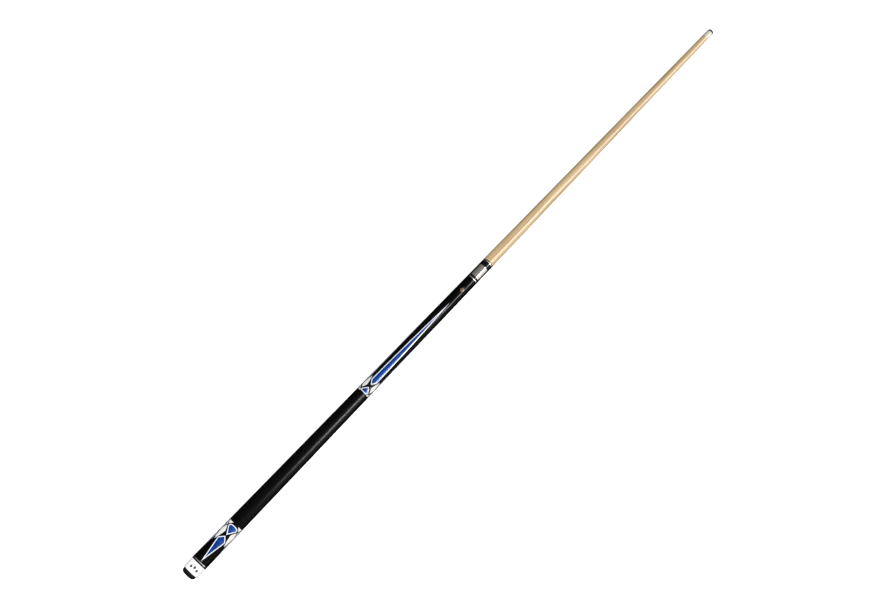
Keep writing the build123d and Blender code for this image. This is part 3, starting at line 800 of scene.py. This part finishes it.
def build_rings():
    for name, cad_node, bore, slot, material in (
        ("cap_ring_black", "cap_black_ring", SLEEVE_BORE, "ring_black", PHENOLIC),
        ("cap_ring_silver", "cap_silver_ring", SLEEVE_BORE, "ring_silver", SILVER),
        ("joint_ring_silver", "joint_silver_ring", TENON_RADIUS, "ring_silver", SILVER),
        ("joint_ring_black", "joint_black_ring", TENON_RADIUS, "ring_black", PHENOLIC),
    ):
        build_tube(name, cad_node, "butt", bore, butt_radius, slot, material)
    build_tube(
        "joint_collar_steel",
        "joint_collar",
        "butt",
        TENON_RADIUS,
        butt_radius,
        "stainless_steel",
        STEEL,
        front_seam=COLLAR_SEAM,
        rear_seam=2 * SEAM,
    )
    build_tube(
        "shaft_collar_tube",
        "shaft_collar",
        "shaft",
        SHAFT_TENON_RADIUS,
        shaft_radius,
        "shaft_collar_black",
        PHENOLIC,
        rear_seam=COLLAR_SEAM,
    )
    # The shaft turns against this ring, which is a body of its own.
    build_tube(
        "shaft_ring_silver",
        "shaft_trim_ring",
        "trim_ring",
        SHAFT_TENON_RADIUS,
        shaft_radius,
        "ring_silver",
        SILVER,
        clear=TURNING_GAP,
    )
    build_tube(
        "shaft_ring_black",
        "shaft_black_ring",
        "shaft",
        SHAFT_TENON_RADIUS,
        shaft_radius,
        "ring_black",
        PHENOLIC,
    )


def build_wrap():
    end_roll = 0.25 * MM
    profile = [
        (WRAP_START, SLEEVE_BORE),
        (WRAP_START, butt_radius(WRAP_START) - end_roll),
        (WRAP_START + end_roll * 0.5, butt_radius(WRAP_START) - end_roll * 0.3),
        (WRAP_START + end_roll * 1.4, butt_radius(WRAP_START + end_roll * 1.4)),
        (FOREARM_START - end_roll * 1.4, butt_radius(FOREARM_START - end_roll * 1.4)),
        (FOREARM_START - end_roll * 0.5, butt_radius(FOREARM_START) - end_roll * 0.3),
        (FOREARM_START, butt_radius(FOREARM_START) - end_roll),
        (FOREARM_START, SLEEVE_BORE),
    ]
    wrap = turned("wrap_linen", profile, closed=True)
    finish_piece(wrap, "butt", ["handle_wrap"], LINEN)


def build_shaft():
    tenon_end = start_of("tip_pad") - 3 * MM
    profile = [
        (end_of("shaft_insert"), 0),
        (end_of("shaft_insert"), INSERT_RADIUS),
        (JOINT_FACE, INSERT_RADIUS),
        (JOINT_FACE, SHAFT_TENON_RADIUS),
        (MAPLE_START, SHAFT_TENON_RADIUS),
        (MAPLE_START, shaft_radius(MAPLE_START) - SEAM),
        (MAPLE_START + SEAM, shaft_radius(MAPLE_START + SEAM)),
    ]
    steps = 24
    for step in range(1, steps):
        x = MAPLE_START + (FERRULE_START - MAPLE_START) * step / steps
        profile.append((x, shaft_radius(x)))
    profile += [
        (FERRULE_START - SEAM, shaft_radius(FERRULE_START - SEAM)),
        (FERRULE_START, TIP_RADIUS - SEAM),
        (FERRULE_START, FERRULE_BORE),
        (tenon_end, FERRULE_BORE),
        (tenon_end, 0),
    ]
    shaft = turned("shaft_maple", profile)
    finish_piece(shaft, "shaft", ["shaft"], MAPLE)


def build_tip():
    pad_start, pad_end = start_of("tip_pad"), end_of("tip_pad")

    def straight(_):
        return TIP_RADIUS

    ferrule_profile = tube_profile(FERRULE_START, pad_start, FERRULE_BORE, straight)
    ferrule = turned("ferrule_sleeve", ferrule_profile, closed=True)
    finish_piece(ferrule, "shaft", ["ferrule"], FERRULE)
    pad = turned("tip_pad_disc", tube_profile(pad_start, pad_end, PAD_BORE, straight), closed=True)
    finish_piece(pad, "shaft", ["tip_pad"], FIBRE)
    rise = 2.0 * MM
    dome_start = TIP_END - rise
    dome_radius = (TIP_RADIUS**2 + rise**2) / (2 * rise)
    profile = [(TIP_START, 0), (TIP_START, TIP_RADIUS - SEAM), (TIP_START + SEAM, TIP_RADIUS)]
    profile.append((dome_start - 0.3 * MM, TIP_RADIUS))
    steps = 16
    limit = math.asin(TIP_RADIUS / dome_radius)
    for step in range(steps + 1):
        angle = limit * (1 - step / steps)
        x = TIP_END - dome_radius * (1 - math.cos(angle))
        radius = dome_radius * math.sin(angle) * (0.985 if step == 0 else 1)
        profile.append((x, radius if step < steps else 0))
    tip = turned("tip_leather_dome", profile)
    finish_piece(tip, "shaft", ["tip"], LEATHER)


def dress_cad_nodes():
    """Inner pieces keep their CAD meshes and get a finished material."""
    finishes = {
        "weight_bolt": ZINC,
        "handle_stud": ZINC,
        "handle_core": RAW_WOOD,
        "joint_pin": STEEL,
        "shaft_insert": BRASS,
    }
    for name, material in finishes.items():
        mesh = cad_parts[name].data
        mesh.materials.clear()
        mesh.materials.append(material)


# ---------------------------------------------------------------- camera, floor and light
def place_camera():
    """The camera looks down on the cue and leans towards the tip. The cue crosses the frame at 46 degrees."""
    foot = 0.1366
    height = 1.5786
    aside = 0.0214
    lean = math.radians(17.3)
    roll = math.radians(45.85)
    along = Vector((math.cos(lean), 0, math.sin(lean)))
    view = Vector((math.sin(lean), 0, -math.cos(lean)))
    across = Vector((0, 1, 0))
    right = along * math.cos(roll) - across * math.sin(roll)
    up = along * math.sin(roll) + across * math.cos(roll)
    data = bpy.data.cameras.new("camera")
    data.sensor_width = 36
    data.lens = 37.47
    data.clip_end = 50
    camera = bpy.data.objects.new("camera", data)
    rotation = Matrix((right, up, -view)).transposed().to_4x4()
    camera.matrix_world = Matrix.Translation((foot, aside, height)) @ rotation
    bpy.context.scene.collection.objects.link(camera)
    bpy.context.scene.camera = camera


def make_glow(material, strength):
    shader_of(material).inputs["Emission Color"].default_value = (1, 1, 1, 1)
    shader_of(material).inputs["Emission Strength"].default_value = strength


def lay_floor():
    """A pale floor that touches the cue at its thick end and at its tip."""
    material = new_material("floor", (0.93, 0.93, 0.93), 0.9, specular=0.0)
    make_glow(material, 0.75)
    soft = noise(material, (3, 3, 3), detail=2)
    color_from(material, ramp(material, soft, [(0.2, (0.92, 0.92, 0.92)), (0.8, (0.94, 0.94, 0.94))]))
    half_size = 30
    corners = [(x * half_size, y * half_size, 0) for x, y in ((-1, -1), (1, -1), (1, 1), (-1, 1))]
    mesh = bpy.data.meshes.new("floor")
    mesh.from_pydata(corners, [], [(0, 1, 2, 3)])
    mesh.materials.append(material)
    floor = make_object("floor", mesh)
    thick = butt_radius(CAP_START)
    slope = (thick - TIP_RADIUS) / (TIP_END - CAP_START)
    floor.rotation_euler = (0, -math.atan(slope), 0)
    floor.location = (CAP_START, 0, -thick)
    floor.visible_diffuse = False
    floor.visible_glossy = False


def raise_backdrop():
    """A pale dome round the studio, which only the camera sees."""
    material = new_material("backdrop", (0, 0, 0), 1.0, specular=0.0)
    make_glow(material, 0.92)
    dome = bmesh.new()
    bmesh.ops.create_uvsphere(dome, u_segments=64, v_segments=32, radius=20)
    mesh = bpy.data.meshes.new("backdrop")
    dome.to_mesh(mesh)
    dome.free()
    mesh.materials.append(material)
    backdrop = make_object("backdrop", mesh)
    backdrop.visible_diffuse = False
    backdrop.visible_glossy = False
    backdrop.visible_transmission = False
    backdrop.visible_shadow = False


def long_light(name, angle, distance, start, end, width, radiance, diffuse=True):
    """A long softbox beside the cue, at an angle in degrees from straight overhead towards -Y."""
    data = bpy.data.lights.new(name, "AREA")
    data.shape = "RECTANGLE"
    data.size = end - start
    data.size_y = width
    data.energy = radiance * math.pi * (end - start) * width
    light = bpy.data.objects.new(name, data)
    tilt = math.radians(angle)
    light.location = ((start + end) / 2, -distance * math.sin(tilt), distance * math.cos(tilt))
    light.rotation_euler = (tilt, 0, 0)
    light.visible_diffuse = diffuse
    bpy.context.scene.collection.objects.link(light)


def graded(tree, source, source_range, strength_range):
    """A strength that changes evenly over a range of one coordinate."""
    made = tree.nodes.new("ShaderNodeMapRange")
    made.inputs["From Min"].default_value, made.inputs["From Max"].default_value = source_range
    made.inputs["To Min"].default_value, made.inputs["To Max"].default_value = strength_range
    tree.links.new(source, made.inputs["Value"])
    return made.outputs["Result"]


def make_world():
    """A pale surround above the floor that turns dark below it and a little darker towards +Y."""
    world = bpy.data.worlds.new("studio")
    world.use_nodes = True
    tree = world.node_tree
    place = tree.nodes.new("ShaderNodeTexCoord")
    split = tree.nodes.new("ShaderNodeSeparateXYZ")
    tree.links.new(place.outputs["Generated"], split.inputs["Vector"])
    strength = tree.nodes.new("ShaderNodeMath")
    strength.operation = "MULTIPLY"
    by_height = graded(tree, split.outputs["Z"], (-0.35, 0.35), (0.04, 0.36))
    by_side = graded(tree, split.outputs["Y"], (0.0, 0.9), (1.0, 0.55))
    tree.links.new(by_height, strength.inputs[0])
    tree.links.new(by_side, strength.inputs[1])
    background = tree.nodes["Background"].inputs
    tree.links.new(strength.outputs[0], background["Strength"])
    background["Color"].default_value = (1, 1, 1, 1)
    bpy.context.scene.world = world


def soft_sun(name, angle, strength):
    """A broad even light from an angle off straight overhead towards -Y, without highlights of its own."""
    data = bpy.data.lights.new(name, "SUN")
    data.energy = strength
    data.angle = math.radians(50)
    light = bpy.data.objects.new(name, data)
    light.rotation_euler = (math.radians(angle), 0, 0)
    light.visible_glossy = False
    bpy.context.scene.collection.objects.link(light)


def butt_fill():
    """A soft light that lifts the far side of the butt end."""
    data = bpy.data.lights.new("butt_fill", "AREA")
    data.shape = "DISK"
    data.size = 0.8
    data.energy = 11
    light = bpy.data.objects.new("butt_fill", data)
    light.location = (-0.25, 0.9, 0.8)
    light.rotation_euler = Vector((0.35, -0.9, -0.8)).to_track_quat("-Z", "Y").to_euler()
    light.visible_glossy = False
    bpy.context.scene.collection.objects.link(light)


def light_scene():
    make_world()
    long_light("line", angle=34, distance=2.4, start=0.5, end=4.0, width=0.09, radiance=220, diffuse=False)
    long_light("key", angle=46, distance=2.6, start=0.3, end=3.6, width=0.24, radiance=3.5, diffuse=False)
    long_light("side", angle=76, distance=2.6, start=-0.8, end=2.2, width=0.8, radiance=1.3)
    soft_sun("fill", angle=27, strength=2.45)
    butt_fill()
    bpy.context.scene.view_settings.view_transform = "Standard"


build_bumper()
build_cap()
build_sleeve()
build_wrap()
build_forearm()
build_rings()
build_shaft()
build_tip()
dress_cad_nodes()
place_camera()
lay_floor()
raise_backdrop()
light_scene()
